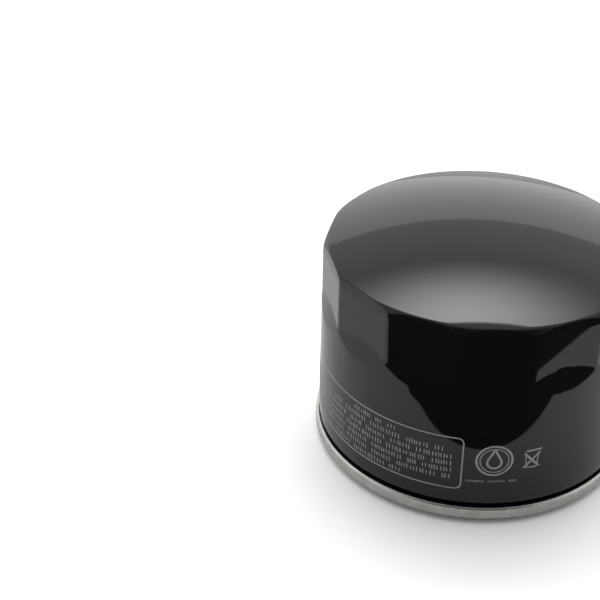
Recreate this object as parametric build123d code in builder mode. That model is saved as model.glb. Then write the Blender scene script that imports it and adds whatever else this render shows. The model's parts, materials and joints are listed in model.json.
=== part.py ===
from build123d import *
from math import atan2, cos, degrees, pi, sin, sqrt
import os

# Spin-on engine oil filter, in millimetres, standing on its gasket.
# Z = 0 is the gasket's sealing face, the Z axis is the filter's axis, and the dome is at the top.
# One wrench flat faces -Y.

# ---- can ----
can_radius = 38.0
can_sheet = 0.45
overall_height = 58.8
shoulder_radius = 2.2
shoulder_z = 51.0
neck_radius = 37.57
neck_z = 4.9
neck_top_z = 5.8
hook_overlap = 1.0

# ---- wrench flats, each with a brow that leans in above it and a cone that runs it out below ----
flat_count = 14
across_flats = 74.0
flat_top_z = 50.7
brow_lean = 0.07
runout_top_z = 40.7
runout_bottom_z = 35.2
runout_cone_radius = 95.5

# ---- gasket retainer and rolled seam ----
retainer_sheet = 0.35
retainer_bottom_z = 1.3
retainer_mouth_radius = 24.6
groove_inner_radius = 30.6
groove_outer_radius = 36.75
groove_floor_z = 4.6
seam_top_z = 4.5
seam_play = 0.02
seam_bend = 0.4

# ---- outer gasket ----
gasket_inner_radius = 31.0
gasket_outer_radius = 36.0
gasket_edge = 0.35

# ---- tapping plate, with a neck for an M20 x 1.5 thread ----
plate_thickness = 2.5
plate_radius = 36.8
plate_step_radius = 28.4
plate_step_run = 1.5
plate_bend = 0.6
neck_outer_radius = 12.2
neck_end_z = 9.3
thread_minor_radius = 9.188
entry_chamfer_outer_radius = 10.6
entry_chamfer_depth = 0.65
inlet_count = 8
inlet_radius = 3.0
inlet_circle_radius = 20.0

# ---- anti-drain valve ----
hub_radius = 14.6
hub_bottom_z = 7.4
hub_top_z = 10.6
hub_mouth_radius = 10.6
rubber_play = 0.05
lip_inner_radius = 24.9
lip_outer_radius = 26.6
lip_height = 1.5
cone_root_thickness = 1.2
cone_rim_thickness = 0.9

# ---- cartridge ----
cap_sheet = 0.4
cap_radius = 33.2
cap_skirt = 3.4
cap_bend = 0.6
lower_cap_bore_radius = 12.6
cartridge_bottom_z = hub_top_z
cartridge_top_z = 47.8
adhesive_thickness = 1.2
tube_radius = 13.8
tube_sheet = 0.5
tube_hole_radius = 1.8
tube_hole_columns = 12
tube_hole_rows = 6
tube_cut_depth = 2.0
pleat_count = 48
pleat_outer_radius = 32.3
pleat_inner_radius = 14.6
paper_thickness = 0.55
paper_fold_gap = 0.08
clip_sheet = 0.3
clip_leg = 1.3
clip_play = 0.2

# ---- bypass valve ----
bypass_seat_radius = 7.2
bypass_seat_depth = 1.1
bypass_travel = 3.0
cage_radius = 9.8
cage_flange_radius = 12.4
cage_depth = 9.2
cage_window_count = 4
cage_window_width = 7.0
cage_window_height = 4.6
cage_cut_depth = 2.4
poppet_radius = 8.4
poppet_sheet = 0.5
poppet_skirt = 1.75
poppet_bend = 0.25
seal_radius = 8.2
seal_thickness = 0.8
seal_gap = 0.15
stem_radius = 1.5
stem_tail = 0.8
bypass_spring_radius = 5.6
bypass_spring_wire = 0.9
bypass_spring_turns = 3.5

# ---- element spring ----
element_spring_radius = 15.5
element_spring_wire = 1.6
element_spring_turns = 3
spring_play = 0.1

# ---- worked out from the above ----
# The shoulder's arc runs into the dome's, so the dome's radius follows from the two heights.
shoulder_centre_radius = can_radius - shoulder_radius
dome_rise = overall_height - shoulder_z
dome_radius = (shoulder_centre_radius**2 + dome_rise**2 - shoulder_radius**2) / (2 * (dome_rise - shoulder_radius))
dome_centre_z = overall_height - dome_radius
flat_distance = across_flats / 2
runout_slope = (can_radius - flat_distance) / (runout_top_z - runout_bottom_z)
# Layers of the seam, from the groove's wall outwards, on the middle of each sheet.
chuck_wall = groove_outer_radius + retainer_sheet / 2
can_wall = neck_radius - can_sheet / 2
cover_hook = neck_radius + seam_play + retainer_sheet / 2
body_hook = cover_hook + retainer_sheet / 2 + seam_play + can_sheet / 2
seam_face = body_hook + can_sheet / 2 + seam_play + retainer_sheet / 2
can_fold_z = retainer_bottom_z + retainer_sheet + seam_play + can_sheet / 2
body_hook_top_z = seam_top_z - retainer_sheet - seam_bend
plate_bottom_z = retainer_bottom_z + retainer_sheet
plate_top_z = plate_bottom_z + plate_thickness
flange_bottom_z = groove_floor_z + retainer_sheet
flange_top_z = flange_bottom_z + plate_thickness
lower_floor_z = cartridge_bottom_z + cap_sheet
upper_floor_z = cartridge_top_z - cap_sheet
paper_bottom_z = lower_floor_z + adhesive_thickness
paper_top_z = upper_floor_z - adhesive_thickness
paper_height = paper_top_z - paper_bottom_z
cap_inner_radius = cap_radius - cap_sheet / 2
seat_bottom_z = cartridge_top_z - cap_sheet - bypass_seat_depth
poppet_top_z = seat_bottom_z - seal_gap - seal_thickness
poppet_bottom_z = poppet_top_z - poppet_sheet
cage_floor_z = upper_floor_z - cage_depth
cage_floor_top_z = cage_floor_z + cap_sheet


def sheet_section(points, bend, thickness):
    """Cut face of a formed sheet whose middle line follows the points, in the XZ plane."""
    with BuildSketch(Plane.XZ) as section:
        with BuildLine():
            FilletPolyline(*points, radius=bend)
            offset(amount=thickness / 2)
        make_face()
    return section.sketch


def outline_section(points):
    """Closed straight-sided face in the XZ plane."""
    with BuildSketch(Plane.XZ) as section:
        with BuildLine():
            Polyline(*points, close=True)
        make_face()
    return section.sketch


def ring(inner_radius, outer_radius, bottom_z, top_z):
    """Plain ring with square edges."""
    with BuildPart() as plain_ring:
        with BuildSketch(Plane.XY.offset(bottom_z)):
            Circle(outer_radius)
            Circle(inner_radius, mode=Mode.SUBTRACT)
        extrude(amount=top_z - bottom_z)
    return plain_ring.part


def flat_cutter(inset):
    """What one wrench flat takes off the can: outside a plane that leans in at its top, above a wide cone."""
    plane = flat_distance - inset
    brow = plane - brow_lean * (overall_height - flat_top_z)
    outside = can_radius + shoulder_radius
    cone_height = 2 * (runout_top_z - runout_bottom_z)
    bottom_z = runout_top_z - cone_height
    with BuildPart() as cutter:
        with BuildSketch(Plane.XZ):
            with BuildLine():
                Polyline(
                    (plane, bottom_z),
                    (plane, flat_top_z),
                    (brow, overall_height),
                    (outside, overall_height),
                    (outside, bottom_z),
                    close=True,
                )
            make_face()
        extrude(amount=can_radius / 4, both=True)
        with Locations((plane - runout_cone_radius, 0, bottom_z)):
            Cone(
                bottom_radius=runout_cone_radius + cone_height * runout_slope,
                top_radius=runout_cone_radius,
                height=cone_height,
                align=(Align.CENTER, Align.CENTER, Align.MIN),
                mode=Mode.SUBTRACT,
            )
    return cutter.part


def can_form(inset, bottom_z):
    """Solid form of the fluted can, taken in all over by inset."""
    wall = can_radius - inset
    neck = neck_radius - inset
    shoulder_angle = degrees(atan2(shoulder_z - dome_centre_z, shoulder_centre_radius))
    with BuildPart() as form:
        with BuildSketch(Plane.XZ):
            with BuildLine():
                side = Polyline(
                    (0, bottom_z), (neck, bottom_z), (neck, neck_z), (wall, neck_top_z), (wall, shoulder_z)
                )
                CenterArc((shoulder_centre_radius, shoulder_z), shoulder_radius - inset, 0, shoulder_angle)
                dome = CenterArc((0, dome_centre_z), dome_radius - inset, shoulder_angle, 90 - shoulder_angle)
                Line(dome @ 1, side @ 0)
            make_face()
        revolve(axis=Axis.Z)
        with PolarLocations(0, flat_count, start_angle=-90):
            add(flat_cutter(inset), mode=Mode.SUBTRACT)
    return form.part


def coil(radius, wire, turns, bottom_z, top_z):
    """Open coil spring of round wire that reaches from bottom_z to top_z."""
    rise = top_z - bottom_z - wire
    with BuildPart() as spring:
        with BuildLine() as path:
            Helix(pitch=rise / turns, height=rise, radius=radius, center=(0, 0, bottom_z + wire / 2))
        with BuildSketch(Plane(origin=path.line @ 0, z_dir=path.line % 0)):
            Circle(wire / 2)
        sweep(path=path.line, is_frenet=True)
    return spring.part


# ---- can: drawn steel, with its edge folded out and up inside the seam ----
with BuildPart() as can:
    add(can_form(0, can_fold_z + seam_bend))
    add(can_form(can_sheet, can_fold_z), mode=Mode.SUBTRACT)
    add(
        sheet_section(
            [
                (body_hook, body_hook_top_z),
                (body_hook, can_fold_z),
                (can_wall, can_fold_z),
                (can_wall, can_fold_z + hook_overlap),
            ],
            seam_bend,
            can_sheet,
        )
    )
    revolve(axis=Axis.Z)

# ---- gasket retainer: one tinplate ring, from the plate's face to the rolled rim ----
with BuildPart() as gasket_retainer:
    add(
        sheet_section(
            [
                (retainer_mouth_radius + retainer_sheet / 2, retainer_bottom_z + retainer_sheet / 2),
                (groove_inner_radius - retainer_sheet / 2, retainer_bottom_z + retainer_sheet / 2),
                (groove_inner_radius - retainer_sheet / 2, groove_floor_z + retainer_sheet / 2),
                (chuck_wall, groove_floor_z + retainer_sheet / 2),
                (chuck_wall, retainer_bottom_z + retainer_sheet / 2),
                (seam_face, retainer_bottom_z + retainer_sheet / 2),
                (seam_face, seam_top_z - retainer_sheet / 2),
                (cover_hook, seam_top_z - retainer_sheet / 2),
                (cover_hook, can_fold_z + can_sheet / 2 + seam_bend),
            ],
            seam_bend,
            retainer_sheet,
        )
    )
    revolve(axis=Axis.Z)

# ---- outer gasket: square-cut rubber with eased edges ----
with BuildPart() as outer_gasket:
    add(ring(gasket_inner_radius, gasket_outer_radius, 0, groove_floor_z))
    chamfer(outer_gasket.edges(), length=gasket_edge)

# ---- tapping plate: dished steel plate, drawn up into a neck; the thread's bore is at its crests ----
with BuildPart() as tapping_plate:
    with BuildSketch(Plane.XZ):
        with BuildLine():
            FilletPolyline(
                (0, plate_bottom_z),
                (plate_step_radius, plate_bottom_z),
                (plate_step_radius + plate_step_run, flange_bottom_z),
                (plate_radius, flange_bottom_z),
                (plate_radius, flange_top_z),
                (plate_step_radius + plate_step_run / 3, flange_top_z),
                (plate_step_radius - plate_step_run * 2 / 3, plate_top_z),
                (neck_outer_radius, plate_top_z),
                (neck_outer_radius, neck_end_z),
                (0, neck_end_z),
                radius=plate_bend,
            )
            Line((0, neck_end_z), (0, plate_bottom_z))
        make_face()
    revolve(axis=Axis.Z)
    Hole(radius=thread_minor_radius)
    with PolarLocations(inlet_circle_radius, inlet_count):
        Hole(radius=inlet_radius)
    with Locations((0, 0, plate_bottom_z)):
        Cone(
            bottom_radius=entry_chamfer_outer_radius,
            top_radius=thread_minor_radius,
            height=entry_chamfer_depth,
            align=(Align.CENTER, Align.CENTER, Align.MIN),
            mode=Mode.SUBTRACT,
        )

# ---- sealing compound between the plate's edge and the can's neck ----
with BuildPart() as seam_compound:
    add(ring(plate_radius + rubber_play, can_wall - can_sheet / 2 - rubber_play, flange_bottom_z, neck_top_z))

# ---- anti-drain valve: collar, flexible cone and sealing lip ----
with BuildPart() as antidrain_hub:
    add(
        outline_section(
            [
                (neck_outer_radius + rubber_play, hub_bottom_z),
                (hub_radius, hub_bottom_z),
                (hub_radius, hub_top_z),
                (hub_mouth_radius, hub_top_z),
                (hub_mouth_radius, neck_end_z),
                (neck_outer_radius + rubber_play, neck_end_z),
            ]
        )
    )
    revolve(axis=Axis.Z)

with BuildPart() as antidrain_diaphragm:
    add(
        outline_section(
            [
                (hub_radius + rubber_play, hub_bottom_z + 2 * rubber_play),
                (hub_radius + rubber_play, hub_bottom_z + 2 * rubber_play + cone_root_thickness),
                (lip_inner_radius - rubber_play, plate_top_z + lip_height - rubber_play),
                (lip_inner_radius - rubber_play, plate_top_z + lip_height - rubber_play - cone_rim_thickness),
            ]
        )
    )
    revolve(axis=Axis.Z)

with BuildPart() as antidrain_lip:
    add(ring(lip_inner_radius, lip_outer_radius, plate_top_z, plate_top_z + lip_height))
    chamfer(antidrain_lip.edges().group_by(Axis.Z)[-1], length=cone_rim_thickness / 3)

# ---- cartridge: end caps, perforated tube, pleated paper and its bonding ----
with BuildPart() as lower_end_cap:
    add(
        sheet_section(
            [
                (lower_cap_bore_radius, cartridge_bottom_z + cap_skirt),
                (lower_cap_bore_radius, cartridge_bottom_z + cap_sheet / 2),
                (cap_radius, cartridge_bottom_z + cap_sheet / 2),
                (cap_radius, cartridge_bottom_z + cap_skirt),
            ],
            cap_bend,
            cap_sheet,
        )
    )
    revolve(axis=Axis.Z)

with BuildPart() as upper_end_cap:
    add(
        sheet_section(
            [
                (cap_radius, cartridge_top_z - cap_skirt),
                (cap_radius, cartridge_top_z - cap_sheet / 2),
                (bypass_seat_radius, cartridge_top_z - cap_sheet / 2),
                (bypass_seat_radius, seat_bottom_z + cap_sheet / 2),
            ],
            cap_bend,
            cap_sheet,
        )
    )
    revolve(axis=Axis.Z)

with BuildPart() as centre_tube:
    add(ring(tube_radius - tube_sheet, tube_radius, lower_floor_z, upper_floor_z))
    row_pitch = paper_height / tube_hole_rows
    for row in range(tube_hole_rows):
        row_turn = 180 / tube_hole_columns * (row % 2)
        with Locations((0, 0, paper_bottom_z + row_pitch * (row + 0.5))):
            with PolarLocations(tube_radius, tube_hole_columns, start_angle=row_turn):
                Cylinder(tube_hole_radius, tube_cut_depth, rotation=(0, 90, 0), mode=Mode.SUBTRACT)


def pleat_outline(tip_radius, tip_half, root_radius, root_half):
    """Closed zigzag round the axis, with a short flat at each tip and root."""
    points = []
    for pleat in range(pleat_count):
        for radius, half, turn in ((tip_radius, tip_half, pleat), (root_radius, root_half, pleat + 0.5)):
            angle = 2 * pi * turn / pleat_count
            points.append((radius * cos(angle - half / radius), radius * sin(angle - half / radius)))
            points.append((radius * cos(angle + half / radius), radius * sin(angle + half / radius)))
    return points


with BuildPart() as pleated_paper:
    with BuildSketch(Plane.XY.offset(paper_bottom_z)):
        with BuildLine():
            Polyline(
                *pleat_outline(
                    pleat_outer_radius, paper_thickness, pleat_inner_radius + paper_thickness, paper_fold_gap
                ),
                close=True,
            )
        make_face()
        with BuildLine():
            Polyline(
                *pleat_outline(
                    pleat_outer_radius - paper_thickness, paper_fold_gap, pleat_inner_radius, paper_thickness
                ),
                close=True,
            )
        make_face(mode=Mode.SUBTRACT)
    extrude(amount=paper_height)

with BuildPart() as paper_seam_clip:
    clip_outer_radius = pleat_outer_radius + clip_sheet + clip_play / 2
    clip_width = 2 * (paper_thickness + clip_play + clip_sheet)
    with Locations((clip_outer_radius, 0, paper_bottom_z)):
        Box(clip_leg, clip_width, paper_height, align=(Align.MAX, Align.CENTER, Align.MIN))
    with Locations((clip_outer_radius - clip_sheet, 0, paper_bottom_z)):
        Box(
            clip_leg,
            clip_width - 2 * clip_sheet,
            paper_height,
            align=(Align.MAX, Align.CENTER, Align.MIN),
            mode=Mode.SUBTRACT,
        )

with BuildPart() as lower_adhesive:
    add(ring(tube_radius + rubber_play, cap_inner_radius - rubber_play, lower_floor_z, paper_bottom_z))
    fillet(lower_adhesive.edges().group_by(Axis.Z)[0], radius=cap_bend)

with BuildPart() as upper_adhesive:
    add(ring(tube_radius + rubber_play, cap_inner_radius - rubber_play, paper_top_z, upper_floor_z))
    fillet(upper_adhesive.edges().group_by(Axis.Z)[-1], radius=cap_bend)

# ---- bypass valve, hung under the upper end cap ----
with BuildPart() as bypass_cage:
    add(
        sheet_section(
            [
                (cage_flange_radius, upper_floor_z - cap_sheet / 2),
                (cage_radius, upper_floor_z - cap_sheet / 2),
                (cage_radius, cage_floor_z + cap_sheet / 2),
                (stem_radius + cap_sheet * 2, cage_floor_z + cap_sheet / 2),
            ],
            cap_bend,
            cap_sheet,
        )
    )
    revolve(axis=Axis.Z)
    with Locations((0, 0, cage_floor_z + cage_depth / 2)):
        with PolarLocations(cage_radius, cage_window_count):
            Box(cage_cut_depth, cage_window_width, cage_window_height, mode=Mode.SUBTRACT)

with BuildPart() as bypass_poppet:
    with BuildSketch(Plane.XY.offset(poppet_bottom_z)):
        Circle(poppet_radius)
    extrude(amount=poppet_sheet)
    add(ring(poppet_radius - poppet_sheet, poppet_radius, poppet_top_z - poppet_skirt, poppet_top_z - poppet_bend))

with BuildPart() as bypass_stem:
    stem_bottom_z = cage_floor_z - stem_tail
    with BuildSketch(Plane.XY.offset(stem_bottom_z)):
        Circle(stem_radius)
    extrude(amount=poppet_bottom_z - stem_bottom_z)
    chamfer(bypass_stem.edges().group_by(Axis.Z)[0], length=stem_radius / 3)

with BuildPart() as bypass_seal:
    with BuildSketch(Plane.XY.offset(poppet_top_z)):
        Circle(seal_radius)
    extrude(amount=seal_thickness)

with BuildPart() as bypass_spring:
    add(
        coil(
            bypass_spring_radius,
            bypass_spring_wire,
            bypass_spring_turns,
            cage_floor_top_z + spring_play,
            poppet_bottom_z - spring_play,
        )
    )

# ---- element spring, between the upper end cap and the dome ----
spring_reach = element_spring_radius + element_spring_wire / 2
dome_inside_z = dome_centre_z + sqrt((dome_radius - can_sheet) ** 2 - spring_reach**2)
with BuildPart() as element_spring:
    add(
        coil(
            element_spring_radius,
            element_spring_wire,
            element_spring_turns,
            cartridge_top_z + spring_play,
            dome_inside_z - spring_play,
        )
    )

# ---- one STEP file for each piece ----
pieces = {
    "can": can,
    "gasket_retainer": gasket_retainer,
    "outer_gasket": outer_gasket,
    "tapping_plate": tapping_plate,
    "seam_compound": seam_compound,
    "antidrain_hub": antidrain_hub,
    "antidrain_diaphragm": antidrain_diaphragm,
    "antidrain_lip": antidrain_lip,
    "lower_end_cap": lower_end_cap,
    "upper_end_cap": upper_end_cap,
    "centre_tube": centre_tube,
    "pleated_paper": pleated_paper,
    "paper_seam_clip": paper_seam_clip,
    "lower_adhesive": lower_adhesive,
    "upper_adhesive": upper_adhesive,
    "bypass_cage": bypass_cage,
    "bypass_poppet": bypass_poppet,
    "bypass_stem": bypass_stem,
    "bypass_seal": bypass_seal,
    "bypass_spring": bypass_spring,
    "element_spring": element_spring,
}
os.makedirs("parts", exist_ok=True)
for name, piece in pieces.items():
    piece.part.label = name
    export_step(piece.part, f"parts/{name}.step")
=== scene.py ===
import json
import random
from math import atan2, cos, hypot, pi, radians, sin, sqrt, tan

import bmesh
import bpy
import numpy as np
from mathutils import Matrix, Vector


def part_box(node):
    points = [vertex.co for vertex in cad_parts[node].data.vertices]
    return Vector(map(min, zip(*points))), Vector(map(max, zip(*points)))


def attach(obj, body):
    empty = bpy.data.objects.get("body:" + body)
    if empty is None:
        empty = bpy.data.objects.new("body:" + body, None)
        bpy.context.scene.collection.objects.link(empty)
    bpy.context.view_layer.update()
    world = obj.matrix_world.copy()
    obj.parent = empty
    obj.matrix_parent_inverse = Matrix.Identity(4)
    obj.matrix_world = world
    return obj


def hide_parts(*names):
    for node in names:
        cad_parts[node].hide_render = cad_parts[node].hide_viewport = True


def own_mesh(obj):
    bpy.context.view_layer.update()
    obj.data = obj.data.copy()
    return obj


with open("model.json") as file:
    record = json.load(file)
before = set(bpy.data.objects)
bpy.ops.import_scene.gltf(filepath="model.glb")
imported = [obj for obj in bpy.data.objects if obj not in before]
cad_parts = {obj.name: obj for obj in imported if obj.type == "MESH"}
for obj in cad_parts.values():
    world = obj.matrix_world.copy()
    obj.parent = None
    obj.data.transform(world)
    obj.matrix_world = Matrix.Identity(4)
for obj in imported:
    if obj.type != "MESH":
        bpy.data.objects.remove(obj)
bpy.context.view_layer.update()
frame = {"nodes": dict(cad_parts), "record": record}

# Spin-on oil filter. Lengths are in millimetres here, and MM turns them into metres.
MM = 0.001


def top_of(node):
    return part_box(node)[1].z / MM


def bottom_of(node):
    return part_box(node)[0].z / MM


# ---- can ----
can_radius = 38.0
can_sheet = 0.45
overall_height = top_of("can")
shoulder_radius = 2.2
shoulder_z = 51.0
shoulder_centre_radius = can_radius - shoulder_radius
dome_rise = overall_height - shoulder_z
dome_square = shoulder_centre_radius**2 + dome_rise**2 - shoulder_radius**2
dome_radius = dome_square / (2 * (dome_rise - shoulder_radius))
dome_centre_z = overall_height - dome_radius
neck_radius = 37.57
neck_z = 4.9
neck_top_z = 5.8

# ---- wrench flats: planes whose brow leans in at the top, run out through a cone at the bottom ----
flat_count = 14
flat_step = 2 * pi / flat_count
first_flat = -pi / 2
flat_distance = 37.0
flat_top_z = 50.7
brow_lean = 0.07
brow_softness = 0.02
runout_top_z = 40.7
runout_bottom_z = 35.2
runout_slope = (can_radius - flat_distance) / (runout_top_z - runout_bottom_z)
runout_cone_radius = 95.5
corner_softness = 0.27
runout_softness = 0.05
edge_softness = 0.06
crease_softness = 0.12
# The shoulder is drawn as rays from a ring inside it.
fan_radius = 32.0
fan_z = 49.5

# ---- rolled seam ----
retainer_sheet = 0.35
retainer_bottom_z = bottom_of("gasket_retainer")
rim_top_z = 4.5
groove_inner_radius = 30.6
groove_outer_radius = 36.75
groove_floor_z = 4.6
retainer_mouth_radius = 24.6
seam_bend = 0.4
seam_play = 0.02
# The seaming roll leaves faint ripples on the rim: (height, waves round the rim, offset).
rim_ripples = [(0.008, 31, 2), (0.006, 73, 0), (0.01, 9, 1)]
can_wall = neck_radius - can_sheet / 2
cover_hook = neck_radius + seam_play + retainer_sheet / 2
body_hook = cover_hook + retainer_sheet / 2 + seam_play + can_sheet / 2
seam_face = body_hook + can_sheet / 2 + seam_play + retainer_sheet / 2
can_fold_z = retainer_bottom_z + retainer_sheet + seam_play + can_sheet / 2
body_hook_top_z = rim_top_z - retainer_sheet - seam_bend

# ---- gasket ----
gasket_inner_radius = 31.0
gasket_edge = 0.35

# ---- thread in the plate's neck: M20 x 1.5 ----
thread_radius = 10.0
thread_minor_radius = 9.188
thread_pitch = 1.5
thread_cut_start = thread_minor_radius - 0.2

# ---- anti-drain valve's cone ----
cone_inner_radius = 14.65
cone_outer_radius = 24.85
cone_root_height = 2.8
cone_rim_thickness = 0.9
cone_sag = 0.07

# ---- springs ----
bypass_coil_radius, bypass_wire, bypass_turns, bypass_travel = 5.6, 0.9, 3.5, 3.0
element_coil_radius, element_wire, element_turns, element_travel = 15.5, 1.6, 3, 1.5

# ---- print on the can: arcs are measured round the can from the first flat ----
ink_height = 0.02
panel_left, panel_right = -63.0, -5.6
panel_bottom, panel_top = 9.5, 23.9
panel_corner = 1.4
panel_margin = 1.7
row_pitch = 1.9
row_count = 7
short_by = 12
letter_height = 1.3
letter_pitch = 1.5
fine_line = 0.24
line = 0.32
bold_line = 0.5
emblem_arc, emblem_z, emblem_radius = 1.65, 18.1, 4.1
disposal_arc, disposal_z, disposal_half = 10.4, 17.8, 1.9

# ---- studio: angles are in degrees up from the back horizon, and levels are radiances ----
wall_top = 28
wall_level = 1.4
room_level = 0.9
room_end = 120
dim_level = 0.1
box_start = 45
box_end = 67
box_level = 6
box_half_width = 0.6
light_edge = 1
side_start = 0.4
side_level = 0.8
paper_lift = 2
backdrop_level = 1.05
card_edge_y = -65
card_reach = 600
card_z = 0.2
floor_reach = 3000


# ======== mesh helpers ========


def new_piece(name, points, faces, body, replaced=()):
    """Mesh piece from points in millimetres, riding on a body."""
    mesh = bpy.data.meshes.new(name)
    mesh.from_pydata([tuple(c * MM for c in p) for p in points], [], faces)
    mesh.validate()
    mesh.polygons.foreach_set("use_smooth", [True] * len(mesh.polygons))
    piece = bpy.data.objects.new(name, mesh)
    bpy.context.collection.objects.link(piece)
    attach(piece, body)
    if replaced:
        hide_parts(*replaced)
    return piece


def arc_corner(before, corner, after, bend, steps=6):
    """Points of the arc that rounds one corner of a path, with its tangent points."""
    a, c, b = (np.array(p, float) for p in (before, corner, after))
    to_a = (a - c) / np.linalg.norm(a - c)
    to_b = (b - c) / np.linalg.norm(b - c)
    half = np.arccos(np.clip(to_a @ to_b, -1, 1)) / 2
    middle = (to_a + to_b) / np.linalg.norm(to_a + to_b)
    centre = c + middle * bend / sin(half)
    start = c + to_a * bend / tan(half) - centre
    end = c + to_b * bend / tan(half) - centre
    turn = np.arctan2(start[0] * end[1] - start[1] * end[0], start @ end)
    points = []
    for step in range(steps + 1):
        t = turn * step / steps
        x = start[0] * cos(t) - start[1] * sin(t)
        z = start[0] * sin(t) + start[1] * cos(t)
        points.append((centre[0] + x, centre[1] + z))
    return points


def rounded_path(points, bend, steps=6):
    """Path with every inner corner rounded."""
    path = [points[0]]
    for before, corner, after in zip(points, points[1:], points[2:]):
        path += arc_corner(before, corner, after, bend, steps)
    return path + [points[-1]]


def sheet_loop(points, bend, thickness, steps=6):
    """Closed cut face of a formed sheet, as a loop of (radius, z), from its middle line."""
    path = np.array(rounded_path(points, bend, steps))
    along = np.gradient(path, axis=0)
    along[0], along[-1] = path[1] - path[0], path[-1] - path[-2]
    along /= np.linalg.norm(along, axis=1)[:, None]
    across = np.stack([-along[:, 1], along[:, 0]], 1) * thickness / 2
    return [tuple(p) for p in path + across] + [tuple(p) for p in (path - across)[::-1]]


def lathe(name, loop, body, replaced=(), columns=360, shape=None):
    """Closed ring turned from a loop of (radius, z); shape(angle, radius, z) may move a point."""
    if sum(r0 * z1 - r1 * z0 for (r0, z0), (r1, z1) in zip(loop, loop[1:] + loop[:1])) < 0:
        loop = loop[::-1]
    points, faces = [], []
    rows = len(loop)
    for column in range(columns):
        angle = 2 * pi * column / columns
        for r, z in loop:
            if shape:
                r, z = shape(angle, r, z)
            points.append((r * cos(angle), r * sin(angle), z))
        for row in range(rows):
            here, there = column * rows, (column + 1) % columns * rows
            after = (row + 1) % rows
            faces.append((here + row, there + row, there + after, here + after))
    return new_piece(name, points, faces, body, replaced)


def ease(t):
    """Smooth step from 0 to 1."""
    return t * t * (3 - 2 * t)


# ======== can ========


def smooth_min(a, b, softness):
    """Smaller of two lengths, blended where they are nearly equal."""
    near = np.maximum(softness - np.abs(a - b), 0) / softness
    return np.minimum(a, b) - near**2 * softness / 4


def smooth_max(a, b, softness):
    """Larger of two lengths, blended where they are nearly equal."""
    return -smooth_min(-a, -b, softness)


def flat_reach(turn, z):
    """Distance from the axis to one flat and its run-out, seen at an angle from the flat's middle."""
    cone_axis = runout_cone_radius - flat_distance
    plane = flat_distance / np.cos(turn)
    cone_radius = runout_cone_radius + (runout_top_z - z) * runout_slope
    cone = np.sqrt(cone_radius**2 - (cone_axis * np.sin(turn)) ** 2) - cone_axis * np.cos(turn)
    return smooth_max(plane, cone, runout_softness)


def wall_reach(angles, z):
    """Distance from the axis to the fluted wall."""
    turn = np.abs((angles - first_flat + flat_step / 2) % flat_step - flat_step / 2)
    flats = smooth_min(flat_reach(turn, z), flat_reach(flat_step - turn, z), corner_softness)
    return smooth_min(flats, np.full_like(flats, can_radius), edge_softness)


def ray_to_circle(across, up, centre_across, centre_up, radius):
    """Length of a ray to the far side of a circle, all measured from the ray's start."""
    along = across * centre_across + up * centre_up
    return along + sqrt(along**2 - centre_across**2 - centre_up**2 + radius**2)


def shoulder_reach(wall, ray, inset):
    """Length of one of the fan's rays to the shoulder, for every column's wall distance."""
    across, up = cos(ray), sin(ray)
    face = wall - inset - fan_radius
    brow = (face + brow_lean * (flat_top_z - fan_z)) / (across + brow_lean * up)
    flat = smooth_min(face / max(across, brow_softness), brow, brow_softness)
    round_z = shoulder_z - fan_z
    edge = atan2(shoulder_z - dome_centre_z, shoulder_centre_radius)
    dome_start = atan2(
        round_z + shoulder_radius * sin(edge), shoulder_centre_radius - fan_radius + shoulder_radius * cos(edge)
    )
    if up * (can_radius - inset - fan_radius) < round_z * across:
        dome = (can_radius - inset - fan_radius) / across
    elif ray < dome_start:
        dome = ray_to_circle(across, up, shoulder_centre_radius - fan_radius, round_z, shoulder_radius - inset)
    else:
        dome = ray_to_circle(across, up, -fan_radius, dome_centre_z - fan_z, dome_radius - inset)
    return smooth_min(flat, np.full_like(flat, dome), crease_softness)


def can_rows(angles, inset):
    """Rows of (radius, z) for every angle, from the neck up to the middle of the dome."""
    rows = []
    for share in np.linspace(0, 1, 7):
        radius = neck_radius + (can_radius - neck_radius) * ease(share) - inset
        rows.append((np.full_like(angles, radius), neck_z + (neck_top_z - neck_z) * share))
    for z in np.linspace(neck_top_z, runout_bottom_z, 9)[1:-1]:
        rows.append((np.full_like(angles, can_radius - inset), z))
    for z in np.linspace(runout_bottom_z, runout_top_z, 34):
        rows.append((wall_reach(angles, z) - inset, z))
    for z in np.linspace(runout_top_z, fan_z, 10)[1:-1]:
        rows.append((wall_reach(angles, z) - inset, z))
    wall = wall_reach(angles, fan_z)
    for ray in np.linspace(0, pi / 2, 76):
        reach = shoulder_reach(wall, ray, inset)
        rows.append((fan_radius + reach * cos(ray), fan_z + reach * sin(ray)))
    dome = dome_radius - inset
    dome_edge = np.arccos(fan_radius / dome)
    for share in np.linspace(0, 1, 41)[1:-1]:
        angle = dome_edge + (pi / 2 - dome_edge) * share
        rows.append((np.full_like(angles, dome * cos(angle)), dome_centre_z + dome * sin(angle)))
    return rows


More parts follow.
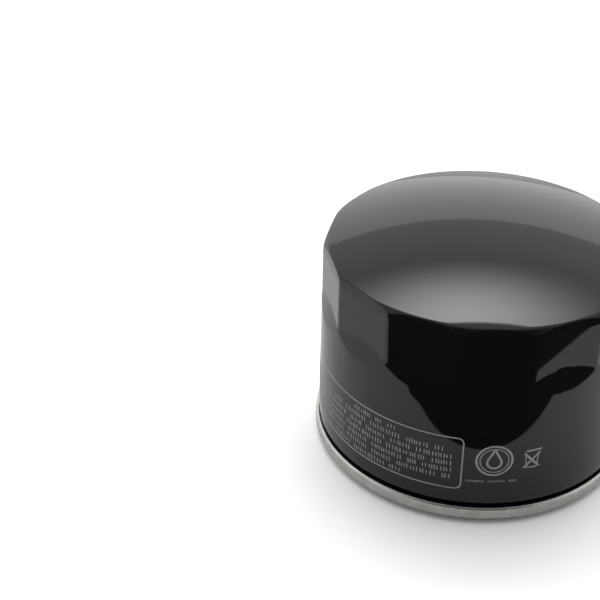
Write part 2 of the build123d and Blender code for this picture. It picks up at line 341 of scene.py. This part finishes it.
def can_shell():
    """Drawn can: outer skin, folded edge and inner skin in one closed mesh."""
    columns = flat_count * 56
    angles = np.arange(columns) * 2 * pi / columns
    hook = sheet_loop(
        [(body_hook, body_hook_top_z), (body_hook, can_fold_z), (can_wall, can_fold_z), (can_wall, neck_z)],
        seam_bend,
        can_sheet,
    )
    half = len(hook) // 2
    edge = hook[half + 1 :] + hook[: half - 1]
    rows = can_rows(angles, 0)[::-1]
    rows += [(np.full_like(angles, r), z) for r, z in edge]
    rows += can_rows(angles, can_sheet)
    points = [(0, 0, overall_height)]
    for r, z in rows:
        points += zip(r * np.cos(angles), r * np.sin(angles), np.broadcast_to(z, angles.shape))
    points.append((0, 0, overall_height - can_sheet))
    faces = []
    for column in range(columns):
        after = (column + 1) % columns
        faces.append((0, 1 + column, 1 + after))
        for row in range(len(rows) - 1):
            upper, lower = 1 + row * columns, 1 + (row + 1) * columns
            faces.append((upper + column, lower + column, lower + after, upper + after))
        last = 1 + (len(rows) - 1) * columns
        faces.append((last + column, len(points) - 1, last + after))
    return new_piece("can_shell", points, faces, "housing", ["can"])


# ======== rolled rim with the gasket groove ========


def rim():
    """Tinplate ring: gasket groove, then up and over the can's edge."""
    bends = [
        (retainer_mouth_radius + retainer_sheet / 2, retainer_bottom_z + retainer_sheet / 2),
        (groove_inner_radius - retainer_sheet / 2, retainer_bottom_z + retainer_sheet / 2),
        (groove_inner_radius - retainer_sheet / 2, groove_floor_z + retainer_sheet / 2),
        (groove_outer_radius + retainer_sheet / 2, groove_floor_z + retainer_sheet / 2),
        (groove_outer_radius + retainer_sheet / 2, retainer_bottom_z + retainer_sheet / 2),
        (seam_face, retainer_bottom_z + retainer_sheet / 2),
        (seam_face, rim_top_z - retainer_sheet / 2),
        (cover_hook, rim_top_z - retainer_sheet / 2),
        (cover_hook, can_fold_z + can_sheet / 2 + seam_bend),
    ]

    def rolled(angle, r, z):
        """Adds the ripples, on the rim's outside only."""
        outer = max(0.0, r - body_hook) / (seam_face - body_hook)
        ripple = sum(height * sin(waves * angle + offset) for height, waves, offset in rim_ripples)
        return r + ripple * min(outer, 1), z

    loop = sheet_loop(bends, seam_bend, retainer_sheet, steps=8)
    return lathe("rolled_rim", loop, "housing", ["gasket_retainer"], columns=720, shape=rolled)


def square_ring(inner, outer, low, high, edge):
    """Loop of a square section with rounded corners."""
    corners = [(inner, low), (outer, low), (outer, high), (inner, high)]
    loop = []
    for i in range(4):
        loop += arc_corner(corners[i - 1], corners[i], corners[(i + 1) % 4], edge, 4)
    return loop


def gasket():
    """Square-cut rubber ring."""
    lo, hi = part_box("outer_gasket")
    loop = square_ring(gasket_inner_radius, hi.x / MM, lo.z / MM, hi.z / MM, gasket_edge)
    return lathe("outer_gasket_ring", loop, "housing", ["outer_gasket"])


# ======== tapping plate, with its thread ========


def thread_cutter(low, high, steps=48):
    """Closed helical bar with the thread groove's section."""
    crest, root = thread_cut_start, thread_radius
    root_half = thread_pitch / 16
    crest_half = root_half + (root - crest) * tan(radians(30))
    section = [(crest, -crest_half), (root, -root_half), (root, root_half), (crest, crest_half)]
    total = round((high - low) / thread_pitch * steps)
    points, faces = [], []
    for step in range(total + 1):
        angle = 2 * pi * step / steps
        middle = low + thread_pitch * step / steps
        points += [(r * cos(angle), r * sin(angle), middle + z) for r, z in section]
        if step:
            here, there = (step - 1) * 4, step * 4
            faces += [(here + i, there + i, there + (i + 1) % 4, here + (i + 1) % 4) for i in range(4)]
    faces += [(0, 1, 2, 3), tuple(total * 4 + i for i in (3, 2, 1, 0))]
    return points, faces


def threaded_plate():
    """The plate with a helical thread cut right through its neck."""
    mesh = frame["nodes"]["tapping_plate"].data.copy()
    mesh.name = "threaded_plate"
    plate = bpy.data.objects.new("threaded_plate", mesh)
    bpy.context.collection.objects.link(plate)
    weld = bmesh.new()
    weld.from_mesh(mesh)
    bmesh.ops.remove_doubles(weld, verts=weld.verts, dist=0.001 * MM)
    weld.to_mesh(mesh)
    weld.free()
    points, faces = thread_cutter(bottom_of("tapping_plate") - thread_pitch, top_of("tapping_plate") + thread_pitch)
    cutter_mesh = bpy.data.meshes.new("thread_cutter")
    cutter_mesh.from_pydata([tuple(c * MM for c in p) for p in points], [], faces)
    cutter = bpy.data.objects.new("thread_cutter", cutter_mesh)
    bpy.context.collection.objects.link(cutter)
    cut = plate.modifiers.new("thread", "BOOLEAN")
    cut.operation = "DIFFERENCE"
    cut.solver = "EXACT"
    cut.object = cutter
    bpy.context.view_layer.update()
    evaluated = plate.evaluated_get(bpy.context.evaluated_depsgraph_get())
    plate.data = bpy.data.meshes.new_from_object(evaluated)
    plate.modifiers.clear()
    bpy.data.objects.remove(cutter)
    plate.data.set_sharp_from_angle(angle=radians(32))
    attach(plate, "housing")
    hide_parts("tapping_plate")
    return plate


# ======== valve cone and springs =======================================


def valve_cone():
    """Flexible cone between the anti-drain valve's collar and its lip."""
    rim_low, root_high = bottom_of("antidrain_diaphragm"), top_of("antidrain_diaphragm")
    root_low = rim_low + cone_root_height
    lower, upper = [], []
    for share in np.linspace(0, 1, 19):
        radius = cone_inner_radius + (cone_outer_radius - cone_inner_radius) * share
        fall = share + cone_sag * sin(2 * pi * share)
        lower.append((radius, root_low + (rim_low - root_low) * fall))
        upper.append((radius, root_high + (rim_low + cone_rim_thickness - root_high) * fall))
    loop = lower + upper[::-1]
    cone = lathe("antidrain_cone", loop, "housing", ["antidrain_diaphragm"], 240)
    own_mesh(cone)
    return cone


def spring(name, radius, wire, turns, body, node, joint, travel, fixed_at_top):
    """Coil of round wire with a closed half turn at each end."""
    low, high = bottom_of(node), top_of(node)
    steps, sides = 96, 16
    total = round(turns * steps)
    closed = 0.5 / turns
    points, faces = [], []
    for step in range(total + 1):
        share = min(max((step / total - closed) / (1 - 2 * closed), 0), 1)
        z = low + wire / 2 + (high - low - wire) * (share + ease(share)) / 2
        angle = 2 * pi * step / steps
        for side in range(sides):
            a = 2 * pi * side / sides
            r = radius + wire / 2 * cos(a)
            points.append((r * cos(angle), r * sin(angle), z + wire / 2 * sin(a)))
        if step:
            here, there = (step - 1) * sides, step * sides
            faces += [
                (here + side, there + side, there + (side + 1) % sides, here + (side + 1) % sides)
                for side in range(sides)
            ]
    faces.append(tuple(range(sides)))
    faces.append(tuple(total * sides + side for side in reversed(range(sides))))
    coil = new_piece(name, points, faces, body, [node])
    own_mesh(coil)
    return coil


# ======== print ========


class Ink:
    """Thin raised marks on the can's wall, placed by arc length from the first flat and height."""

    def __init__(self):
        self.points, self.faces = [], []

    def point(self, arc, z, raised):
        angle = first_flat + arc / can_radius
        r = can_radius + (ink_height if raised else -ink_height)
        self.points.append((r * cos(angle), r * sin(angle), z))
        return len(self.points) - 1

    def bar(self, left, right, low, high):
        steps = max(1, round((right - left) / 1.0))
        before = None
        for step in range(steps + 1):
            arc = left + (right - left) * step / steps
            ring = [self.point(arc, low, True), self.point(arc, high, True)]
            ring += [self.point(arc, high, False), self.point(arc, low, False)]
            if before:
                for i in range(4):
                    j = (i + 1) % 4
                    self.faces.append((before[i], ring[i], ring[j], before[j]))
            else:
                self.faces.append(tuple(ring))
            before = ring
        self.faces.append(tuple(reversed(before)))

    def line(self, path, width, closed=True):
        """Line of one width along a path of (arc, z)."""
        path = np.array(path, float)
        if closed:
            along = np.roll(path, -1, 0) - np.roll(path, 1, 0)
        else:
            along = np.gradient(path, axis=0)
        along /= np.linalg.norm(along, axis=1)[:, None]
        across = np.stack([along[:, 1], -along[:, 0]], 1) * width / 2
        rings = []
        for outer, inner in zip(path + across, path - across):
            rings.append(
                [
                    self.point(*outer, True),
                    self.point(*inner, True),
                    self.point(*inner, False),
                    self.point(*outer, False),
                ]
            )
        for ring, after in zip(rings, rings[1:] + rings[:1] if closed else rings[1:]):
            for i in range(4):
                j = (i + 1) % 4
                self.faces.append((ring[i], ring[j], after[j], after[i]))
        if not closed:
            self.faces.append(tuple(reversed(rings[0])))
            self.faces.append(tuple(rings[-1]))

    def stroke(self, start, end, width):
        """Straight open line."""
        steps = max(2, round(hypot(end[0] - start[0], end[1] - start[1])))
        way = np.array(end) - start
        self.line([np.array(start) + way * i / steps for i in range(steps + 1)], width, False)


def rounded_rectangle(left, right, low, high, corner):
    """Outline of the panel's frame, with points every millimetre."""
    corners = [(left, low), (right, low), (right, high), (left, high)]
    outline = []
    for i in range(4):
        outline += arc_corner(corners[i - 1], corners[i], corners[(i + 1) % 4], corner, 6)
        start, end = np.array(outline[-1]), np.array(corners[(i + 1) % 4])
        length = np.linalg.norm(end - start) - corner
        way = (end - start) / np.linalg.norm(end - start)
        outline += [tuple(start + way * d) for d in np.arange(1, length, 1.0)]
    return outline


def ring_outline(arc, z, radius, steps=64):
    """Circle on the wall."""
    turns = [2 * pi * i / steps for i in range(steps)]
    return [(arc + radius * cos(t), z + radius * sin(t)) for t in turns]


def drop_outline(arc, z, radius, steps=40):
    """Oil drop: a circle drawn out to a tip at the top."""
    outline = []
    for i in range(steps):
        t = 2 * pi * i / steps - pi / 2
        tip = max(0.0, sin(t)) ** 4
        outline.append((arc + radius * cos(t) * (1 - 0.6 * tip), z + radius * sin(t) + radius * 1.2 * tip))
    return outline


def greeked_row(ink, rng, left, right, z, pitch, height, width):
    """Words of plain upright ticks, with no lettering."""
    arc = left
    while arc < right - pitch:
        word_end = min(arc + pitch * rng.randint(2, 8), right)
        while arc < word_end - pitch / 2:
            tall = height * rng.choice((0.8, 1.0, 1.0)) / 2
            ink.bar(arc, arc + width, z - tall, z + tall)
            arc += pitch / 2 * rng.choice((0.8, 1.0, 1.2))
        arc += pitch * 0.8


def printed_marks():
    """Instruction panel in greeked rows, a ring mark with an oil drop, and a crossed-out disposal mark."""
    ink = Ink()
    rng = random.Random(7)
    ink.line(rounded_rectangle(panel_left, panel_right, panel_bottom, panel_top, panel_corner), line)
    # A short heading in the middle, full rows, and a short last row.
    row_left, row_right = panel_left + panel_margin, panel_right - panel_margin
    for row in range(row_count):
        left = (row_left + row_right) / 2 if row == 0 else row_left
        right = row_right - short_by if row in (0, row_count - 1) else row_right
        z = panel_top - panel_margin - row * row_pitch
        greeked_row(ink, rng, left, right, z, letter_pitch, letter_height, fine_line)
    ink.line(ring_outline(emblem_arc, emblem_z, emblem_radius), bold_line)
    ink.line(ring_outline(emblem_arc, emblem_z, emblem_radius * 0.8), fine_line)
    ink.line(drop_outline(emblem_arc, emblem_z - 0.5, emblem_radius * 0.4), bold_line)
    greeked_row(ink, rng, -4.5, 8.0, 12.15, letter_pitch * 0.6, letter_height * 0.5, fine_line * 0.7)
    left, right = disposal_arc - disposal_half, disposal_arc + disposal_half
    low, high = disposal_z - disposal_half * 1.2, disposal_z + disposal_half
    ink.stroke((left, low), (right, high), bold_line)
    ink.stroke((left, high), (right, low), bold_line)
    ink.stroke((left + 0.4, high + 0.5), (right + 0.3, high + 0.8), bold_line)
    ink.stroke((left + 0.3, high), (left + 0.7, low), fine_line)
    ink.stroke((right - 0.3, high), (right - 0.7, low), fine_line)
    ink.stroke((left + 0.7, low), (right - 0.7, low), line)
    return new_piece("printed_marks", ink.points, ink.faces, "housing")


# ======== materials ========


class Look:
    """Node material with helpers for procedural detail in the object's own space."""

    def __init__(self, name, colour, roughness, metallic=0.0):
        self.material = bpy.data.materials.new(name)
        self.material.use_nodes = True
        self.tree = self.material.node_tree
        self.shader = self.tree.nodes["Principled BSDF"]
        self.shader.inputs["Base Color"].default_value = (*colour, 1)
        self.shader.inputs["Roughness"].default_value = roughness
        self.shader.inputs["Metallic"].default_value = metallic
        self.place = self.tree.nodes.new("ShaderNodeTexCoord").outputs["Object"]

    def join(self, output, socket):
        self.tree.links.new(output, socket)

    def stretch(self, x, y, z):
        mapping = self.tree.nodes.new("ShaderNodeMapping")
        mapping.inputs["Scale"].default_value = (x, y, z)
        self.join(self.place, mapping.inputs["Vector"])
        return mapping.outputs["Vector"]

    def noise(self, size, detail=2.0, rough=0.5, place=None):
        """Noise whose features are about size millimetres across."""
        node = self.tree.nodes.new("ShaderNodeTexNoise")
        node.inputs["Scale"].default_value = 1 / (size * MM)
        node.inputs["Detail"].default_value = detail
        node.inputs["Roughness"].default_value = rough
        self.join(place or self.place, node.inputs["Vector"])
        return node.outputs["Fac"]

    def ramp(self, source, low, high, bottom, top):
        """Source values from low to high become values from bottom to top."""
        node = self.tree.nodes.new("ShaderNodeMapRange")
        node.inputs["From Min"].default_value = low
        node.inputs["From Max"].default_value = high
        node.inputs["To Min"].default_value = bottom
        node.inputs["To Max"].default_value = top
        self.join(source, node.inputs["Value"])
        return node.outputs["Result"]

    def colours(self, factor, first, second):
        node = self.tree.nodes.new("ShaderNodeMix")
        node.data_type = "RGBA"
        node.inputs["A"].default_value = (*first, 1)
        node.inputs["B"].default_value = (*second, 1)
        self.join(factor, node.inputs["Factor"])
        self.join(node.outputs["Result"], self.shader.inputs["Base Color"])

    def roughness(self, source):
        self.join(source, self.shader.inputs["Roughness"])

    def bump(self, height, strength, distance):
        """Adds a bump to those already there; distance is in millimetres."""
        node = self.tree.nodes.new("ShaderNodeBump")
        node.inputs["Strength"].default_value = strength
        node.inputs["Distance"].default_value = distance * MM
        self.join(height, node.inputs["Height"])
        if self.shader.inputs["Normal"].is_linked:
            self.join(self.shader.inputs["Normal"].links[0].from_socket, node.inputs["Normal"])
        self.join(node.outputs["Normal"], self.shader.inputs["Normal"])


def gloss_paint():
    look = Look("gloss_black_paint", (0.0012, 0.0012, 0.0014), 0.06)
    scuff = look.ramp(look.noise(9, 5, 0.6), 0.62, 0.75, 0, 1)
    look.roughness(look.ramp(scuff, 0, 1, 0.03, 0.1))
    look.bump(look.noise(1.6, 1), 0.05, 0.01)
    look.bump(look.noise(14, 1), 0.12, 0.05)
    return look.material


def light_ink():
    look = Look("light_grey_ink", (0.18, 0.18, 0.185), 0.35)
    look.colours(look.noise(0.5, 3), (0.13, 0.13, 0.135), (0.25, 0.25, 0.255))
    look.bump(look.noise(0.25, 2), 0.2, 0.01)
    return look.material


def tinplate():
    look = Look("tinplate", (0.6, 0.59, 0.57), 0.32, 1.0)
    mottle = look.noise(3.5, 6, 0.65)
    look.colours(look.ramp(mottle, 0.35, 0.7, 0, 1), (0.54, 0.53, 0.51), (0.68, 0.67, 0.65))
    look.roughness(look.ramp(look.noise(2.5, 4), 0.3, 0.7, 0.2, 0.3))
    look.bump(look.noise(3.0, 2), 0.03, 0.005)
    return look.material


def steel(name, light, dark, roughness):
    look = Look(name, light, roughness, 1.0)
    look.colours(look.ramp(look.noise(5, 6, 0.65), 0.35, 0.7, 0, 1), dark, light)
    look.roughness(look.ramp(look.noise(1.2, 4), 0.3, 0.7, roughness * 0.85, roughness * 1.2))
    look.bump(look.noise(0.3, 3), 0.3, 0.01)
    return look.material


def rubber(name, light, dark, roughness):
    look = Look(name, light, roughness)
    look.colours(look.noise(4, 5, 0.6), dark, light)
    look.roughness(look.ramp(look.noise(0.6, 3), 0.3, 0.7, roughness * 0.85, min(roughness * 1.2, 1)))
    look.bump(look.noise(0.22, 3), 0.25, 0.02)
    return look.material


def filter_paper():
    look = Look("filter_paper", (0.72, 0.6, 0.36), 0.85)
    fibres = look.noise(0.4, 6, 0.7, look.stretch(1, 1, 0.15))
    look.colours(fibres, (0.55, 0.43, 0.22), (0.82, 0.7, 0.45))
    look.bump(fibres, 0.4, 0.05)
    return look.material


def floor_paper():
    look = Look("floor_paper", (0.8, 0.8, 0.79), 0.9)
    look.colours(look.noise(30, 2), (0.795, 0.793, 0.785), (0.805, 0.803, 0.795))
    # Painted reflection shade: for gloss rays the paper's colour is darkened, so the paint shows the paper less
    # bright than the lens does.
    reflected = look.tree.nodes.new("ShaderNodeLightPath").outputs["Is Glossy Ray"]
    paper = look.shader.inputs["Base Color"].links[0].from_socket
    dim = look.tree.nodes.new("ShaderNodeMix")
    dim.data_type = "RGBA"
    look.join(reflected, dim.inputs["Factor"])
    look.join(paper, dim.inputs["A"])
    # The paper's darker colour, seen only in reflections: painted reflection shade.
    dim.inputs["B"].default_value = (0.48, 0.478, 0.472, 1)
    look.join(dim.outputs["Result"], look.shader.inputs["Base Color"])
    return look.material


def reflection_card_paper():
    """Plain dark card, seen only in the gloss paint's reflections: a painted dark reflection."""
    look = Look("reflection_card_paper", (0.03, 0.03, 0.03), 0.9)
    look.colours(look.noise(30, 2), (0.028, 0.028, 0.028), (0.032, 0.032, 0.032))
    return look.material


# ======== stage ========


def stage_sheet(name, corners, material):
    """Flat stage piece from its corners in millimetres."""
    mesh = bpy.data.meshes.new(name)
    mesh.from_pydata([(x * MM, y * MM, z * MM) for x, y, z in corners], [], [tuple(range(len(corners)))])
    sheet = bpy.data.objects.new(name, mesh)
    sheet.data.materials.append(material)
    bpy.context.collection.objects.link(sheet)
    return sheet


def studio_world():
    """Plain studio: a white wall behind, one wide softbox above it, and a dim room in front."""
    world = bpy.data.worlds.new("studio")
    world.use_nodes = True
    bpy.context.scene.world = world
    tree = world.node_tree
    background = tree.nodes["Background"]

    def maths(operation, *values):
        node = tree.nodes.new("ShaderNodeMath")
        node.operation = operation
        for value, socket in zip(values, node.inputs):
            if isinstance(value, (int, float)):
                socket.default_value = value
            else:
                tree.links.new(value, socket)
        return node.outputs[0]

    def fade(source, start, end, first, last):
        """Goes smoothly from first to last while the source goes from start to end."""
        node = tree.nodes.new("ShaderNodeMapRange")
        node.interpolation_type = "SMOOTHSTEP"
        for socket, value in zip(("From Min", "From Max", "To Min", "To Max"), (start, end, first, last)):
            node.inputs[socket].default_value = value
        tree.links.new(source, node.inputs["Value"])
        return node.outputs["Result"]

    direction = tree.nodes.new("ShaderNodeTexCoord").outputs["Generated"]
    split = tree.nodes.new("ShaderNodeSeparateXYZ")
    tree.links.new(direction, split.inputs["Vector"])
    x, y, z = split.outputs
    pitch = maths("DEGREES", maths("ARCTAN2", maths("MAXIMUM", z, 0), y))
    aside = maths("ABSOLUTE", x)
    wall = fade(pitch, wall_top, wall_top + light_edge, wall_level - room_level, 0)
    room = fade(pitch, box_end, room_end, room_level, dim_level)
    box = fade(pitch, box_start, box_end, 0, box_level)
    box = maths("MULTIPLY", box, fade(aside, 0, box_half_width, 1, 0))
    box = maths("MULTIPLY", box, fade(pitch, box_end, box_end + light_edge, 1, 0))
    front = maths("ADD", maths("ADD", wall, room), box)
    side = fade(aside, side_start, 1, 0, 1)
    front = maths("MULTIPLY", front, maths("SUBTRACT", 1, side))
    radiance = maths("ADD", front, maths("MULTIPLY", side, side_level))
    # The lamps that whiten the paper don't show in the paint.
    light_path = tree.nodes.new("ShaderNodeLightPath").outputs
    lifted = maths("ADD", 1, maths("MULTIPLY", light_path["Is Diffuse Ray"], paper_lift))
    seen = light_path["Is Camera Ray"]
    lit = maths("MULTIPLY", maths("MULTIPLY", radiance, lifted), maths("SUBTRACT", 1, seen))
    tree.links.new(maths("ADD", maths("MULTIPLY", seen, backdrop_level), lit), background.inputs["Strength"])
    background.inputs["Color"].default_value = (1, 1, 1, 1)


def camera():
    """Long lens, looking down at the filter from the front, with the filter at the right of the frame."""
    yaw, pitch, roll = -0.0099, 0.5684, 0.0119
    look = Vector((sin(yaw) * cos(pitch), cos(yaw) * cos(pitch), -sin(pitch)))
    level = Vector((cos(yaw), -sin(yaw), 0))
    upright = level.cross(look)
    right = level * cos(roll) + upright * sin(roll)
    up = upright * cos(roll) - level * sin(roll)
    data = bpy.data.cameras.new("camera")
    data.sensor_width = 36.0
    data.lens = 87.58
    data.clip_start = 0.01
    data.clip_end = 20.0
    camera_object = bpy.data.objects.new("camera", data)
    place = Matrix((right, up, -look)).transposed().to_4x4()
    place.translation = Vector((-40.25, -297.45, 226.18)) * MM
    camera_object.matrix_world = place
    bpy.context.collection.objects.link(camera_object)
    bpy.context.scene.camera = camera_object


# ======== build ========

finishes = {
    "gasket_rubber": rubber("gasket_rubber", (0.022, 0.022, 0.023), (0.012, 0.012, 0.013), 0.6),
    "plate_steel": steel("plate_steel", (0.5, 0.5, 0.49), (0.32, 0.32, 0.31), 0.38),
    "compound": rubber("seaming_compound", (0.4, 0.38, 0.34), (0.28, 0.26, 0.23), 0.7),
    "valve_rubber": rubber("valve_rubber", (0.55, 0.15, 0.05), (0.4, 0.09, 0.03), 0.45),
    "filter_paper": filter_paper(),
    "adhesive": rubber("adhesive", (0.22, 0.18, 0.14), (0.13, 0.1, 0.08), 0.4),
    "spring_steel": steel("spring_steel", (0.42, 0.42, 0.43), (0.22, 0.22, 0.23), 0.35),
    "tinplate": tinplate(),
    "black_paint": gloss_paint(),
}


def finish_piece(piece, material):
    piece.data.materials.clear()
    piece.data.materials.append(material)


for part in frame["record"]["subparts"]:
    finish_piece(frame["nodes"][part["node"]], finishes[part["material_slot"]])
finish_piece(can_shell(), finishes["black_paint"])
finish_piece(rim(), finishes["tinplate"])
finish_piece(gasket(), finishes["gasket_rubber"])
finish_piece(threaded_plate(), finishes["plate_steel"])
finish_piece(valve_cone(), finishes["valve_rubber"])
bypass_shape = (bypass_coil_radius, bypass_wire, bypass_turns)
bypass_coil = spring(
    "bypass_coil", *bypass_shape, "cartridge", "bypass_spring", "bypass_open", bypass_travel, False
)
element_shape = (element_coil_radius, element_wire, element_turns)
element_coil = spring(
    "element_coil", *element_shape, "housing", "element_spring", "cartridge_float", element_travel, True
)
finish_piece(bypass_coil, finishes["spring_steel"])
finish_piece(element_coil, finishes["spring_steel"])
finish_piece(printed_marks(), light_ink())

bpy.context.scene.view_settings.view_transform = "Standard"
floor_corners = [(-floor_reach, -floor_reach, 0), (floor_reach, -floor_reach, 0)]
floor_corners += [(floor_reach, floor_reach, 0), (-floor_reach, floor_reach, 0)]
stage_sheet("floor", floor_corners, floor_paper())
# A straight dark card lies in front, out of view, for the gloss paint to show: a painted dark reflection, seen only
# in reflections, which the camera, the light and the shadows pass through.
card_corners = [(-card_reach, -card_reach), (card_reach, -card_reach)]
card_corners += [(card_reach, card_edge_y), (-card_reach, card_edge_y)]
card = stage_sheet("reflection_only_card", [(x, y, card_z) for x, y in card_corners], reflection_card_paper())
card.visible_camera = False
card.visible_diffuse = False
card.visible_shadow = False
card.visible_transmission = False
studio_world()
camera()
